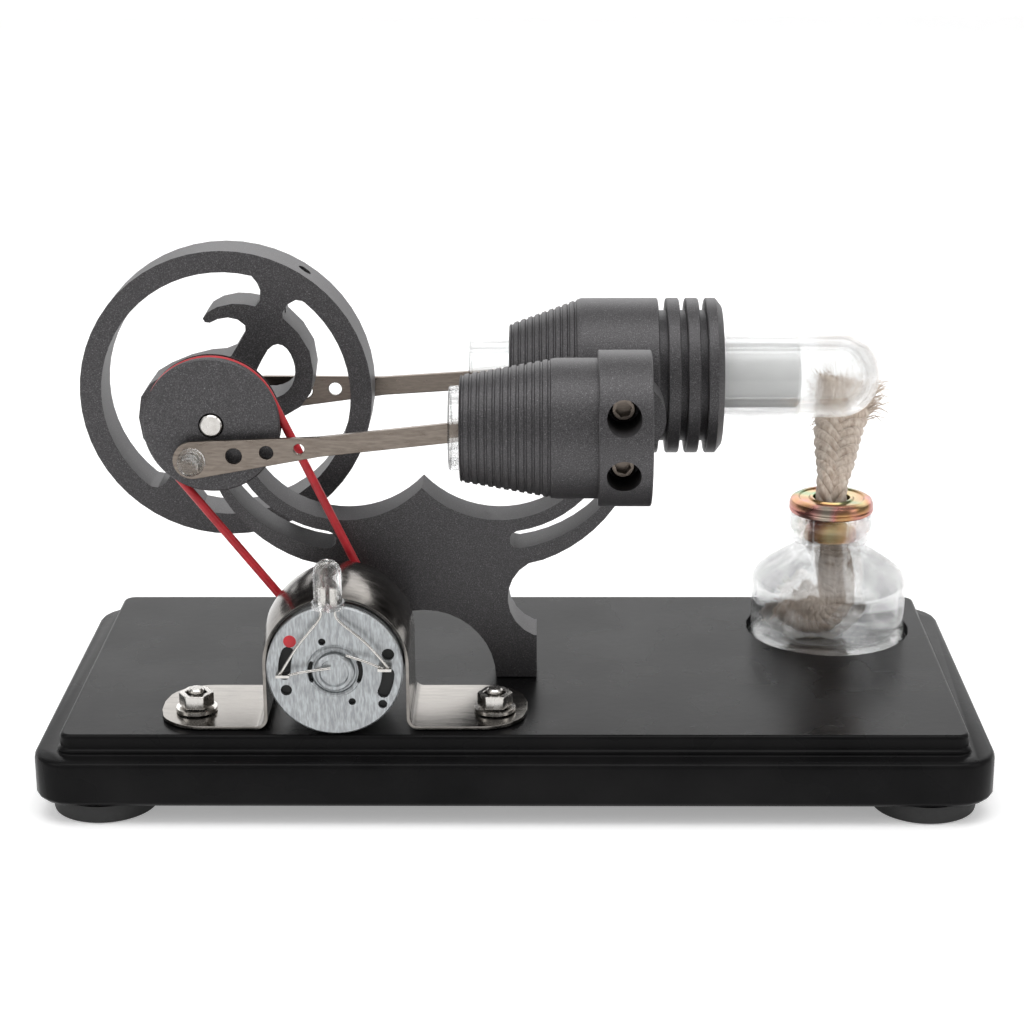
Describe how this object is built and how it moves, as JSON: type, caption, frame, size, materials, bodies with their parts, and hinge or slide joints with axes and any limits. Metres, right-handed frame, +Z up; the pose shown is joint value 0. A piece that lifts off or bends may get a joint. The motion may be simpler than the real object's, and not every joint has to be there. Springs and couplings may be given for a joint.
{
  "type": "stirling engine model",
  "caption": "Twin-cylinder hot-air engine with glass tubes, flywheel and spirit burner on a lacquered board, belt-driving a small generator that lights an LED.",
  "frame": {"origin": "on the surface the feet stand on, under the middle of the board", "axes": "+X from the flywheel towards the hot end of the displacer tube, +Y from the generator towards the flywheel, +Z up"},
  "size_m": [0.171, 0.0806, 0.0934],
  "materials": {
    "black_lacquer": "deep gloss black lacquer",
    "black_rubber": "matt moulded rubber",
    "coated_aluminium": "fine sparkling dark grey coating on turned and milled aluminium",
    "bright_steel": "bright polished steel",
    "nickel_strip": "warm grey nickel, satin",
    "zinc_plate": "zinc plate with fine streaks",
    "brass": "plain brass",
    "copper_winding": "varnished copper winding",
    "magnet": "dull ferrite",
    "clear_glass": "clear laboratory glass",
    "clear_resin": "clear moulded plastic",
    "graphite": "machined graphite",
    "displacer_white": "frosted grey white",
    "red_rubber": "soft red elastic",
    "cotton_wick": "braided undyed cotton"
  },
  "bodies": {
    "base": {"base_board": "black_lacquer", "foot_front_left": "black_rubber", "foot_front_right": "black_rubber", "foot_rear_left": "black_rubber", "foot_rear_right": "black_rubber", "support_frame": "coated_aluminium", "frame_screw_left": "bright_steel", "frame_screw_right": "bright_steel", "bearing_front": "bright_steel", "bearing_rear": "bright_steel", "power_cylinder_glass": "clear_glass", "power_cylinder_housing": "coated_aluminium", "power_glass_oring": "black_rubber", "transfer_block": "coated_aluminium", "clamp_screw_upper": "bright_steel", "clamp_screw_lower": "bright_steel", "heat_sink": "coated_aluminium", "guide_tube_glass": "clear_glass", "hot_tube_glass": "clear_glass", "hot_tube_sleeve": "black_rubber", "motor_can": "zinc_plate", "motor_end_cap": "zinc_plate", "motor_magnet_ring": "magnet", "motor_terminal_left": "brass", "motor_terminal_right": "brass", "motor_strap": "bright_steel", "strap_bolt_left": "bright_steel", "strap_bolt_right": "bright_steel", "strap_washer_left": "bright_steel", "strap_washer_right": "bright_steel", "strap_nut_left": "bright_steel", "strap_nut_right": "bright_steel", "led_lens": "clear_resin", "led_leg_left": "bright_steel", "led_leg_right": "bright_steel", "drive_belt": "red_rubber"},
    "crank": {"crank_shaft": "bright_steel", "crank_disc": "coated_aluminium", "disc_setscrew": "bright_steel", "flywheel": "coated_aluminium", "flywheel_setscrew": "bright_steel", "power_crank_pin": "bright_steel", "displacer_crank_pin": "bright_steel"},
    "generator_rotor": {"motor_shaft": "bright_steel", "motor_rotor": "copper_winding", "motor_pulley": "brass"},
    "power_slider": {"power_piston": "graphite", "power_wrist_pin": "bright_steel"},
    "power_link": {"power_rod": "nickel_strip", "power_rod_pin_cap": "clear_resin"},
    "displacer_slider": {"guide_piston": "graphite", "displacer_wrist_pin": "bright_steel", "displacer_stem": "bright_steel", "displacer": "displacer_white"},
    "displacer_link": {"displacer_rod": "nickel_strip", "displacer_rod_pin_cap": "clear_resin"},
    "burner": {"burner_bottle": "clear_glass", "burner_cap": "zinc_plate", "burner_wick": "cotton_wick"}
  },
  "joints": [
    {"name": "crank_spin", "type": "hinge", "parent": "base", "child": "crank", "pos_m": [-0.0543, 0, 0.0659], "axis": [0, 1, 0], "continuous": true},
    {"name": "generator_spin", "type": "hinge", "parent": "base", "child": "generator_rotor", "pos_m": [-0.0312, 0, 0.0279], "axis": [0, 1, 0], "continuous": true},
    {"name": "power_stroke", "type": "slide", "parent": "base", "child": "power_slider", "axis": [1, 0, 0], "range_m": [-0.00308, 0.01052]},
    {"name": "power_rod_swing", "type": "hinge", "parent": "power_slider", "child": "power_link", "pos_m": [-0.00402, -0.0147, 0.0659], "axis": [0, 1, 0], "range_deg": [-0.97, 13.49]},
    {"name": "displacer_stroke", "type": "slide", "parent": "base", "child": "displacer_slider", "axis": [1, 0, 0], "range_m": [-0.01258, 0.00102]},
    {"name": "displacer_rod_swing", "type": "hinge", "parent": "displacer_slider", "child": "displacer_link", "pos_m": [0.00548, 0.0223, 0.0659], "axis": [0, 1, 0], "range_deg": [-3.62, 10.84]},
    {"name": "burner_lift", "type": "slide", "parent": "base", "child": "burner", "axis": [0, 0, 1], "range_m": [0, 0.003]}
  ],
  "couplings": [
    {"joint": "generator_spin", "follows": "crank_spin", "ratio": 1.771}
  ]
}
